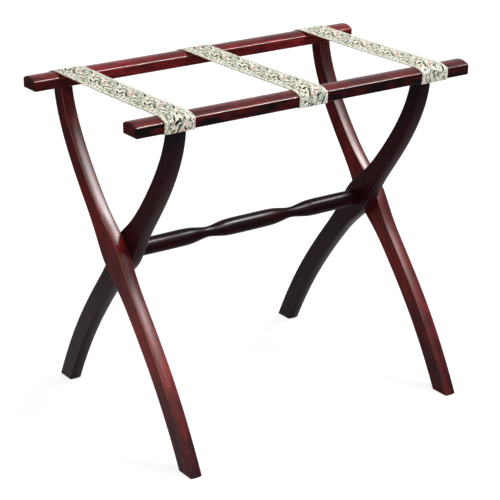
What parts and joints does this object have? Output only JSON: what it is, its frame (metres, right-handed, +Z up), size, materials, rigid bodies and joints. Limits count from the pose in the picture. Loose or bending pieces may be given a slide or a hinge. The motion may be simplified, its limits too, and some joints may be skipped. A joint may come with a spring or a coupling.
{
  "type": "folding luggage stand",
  "caption": "Folding luggage stand: crossed S-curved wooden legs on a turned stretcher, with patterned woven straps across two crowned rails.",
  "frame": {"origin": "on the floor, under the middle of the open stand", "axes": "+X along the rails to the right as seen from the front, +Y from the front rail to the rear rail, +Z up"},
  "size_m": [0.585, 0.426, 0.5215],
  "materials": {
    "mahogany": "semi-gloss red lacquer over mahogany",
    "dowel": "bare beech",
    "strap": "jacquard weave in cream, sage, charcoal and rose",
    "washer": "moulded dark nylon",
    "tack": "antiqued brass"
  },
  "bodies": {
    "outer_frame": {"rear_rail": "mahogany", "outer_leg_left": "mahogany", "outer_leg_right": "mahogany", "stretcher": "mahogany", "pivot_washer_left": "washer", "pivot_washer_right": "washer", "outer_dowel_left_inside": "dowel", "outer_dowel_left_outside": "dowel", "outer_dowel_right_inside": "dowel", "outer_dowel_right_outside": "dowel", "strap_left": "strap", "strap_centre": "strap", "strap_right": "strap", "tack_rear_left_1": "tack", "tack_rear_left_2": "tack", "tack_rear_centre_1": "tack", "tack_rear_centre_2": "tack", "tack_rear_right_1": "tack", "tack_rear_right_2": "tack"},
    "inner_frame": {"front_rail": "mahogany", "inner_leg_left": "mahogany", "inner_leg_right": "mahogany", "inner_dowel_left_inside": "dowel", "inner_dowel_left_outside": "dowel", "inner_dowel_right_inside": "dowel", "inner_dowel_right_outside": "dowel", "tack_front_left_1": "tack", "tack_front_left_2": "tack", "tack_front_centre_1": "tack", "tack_front_centre_2": "tack", "tack_front_right_1": "tack", "tack_front_right_2": "tack"}
  },
  "joints": [
    {"name": "fold", "type": "hinge", "parent": "outer_frame", "child": "inner_frame", "pos_m": [0, 0, 0.276], "axis": [-1, 0, 0], "range_deg": [0, 54], "deforming": ["strap_left", "strap_centre", "strap_right"]}
  ]
}
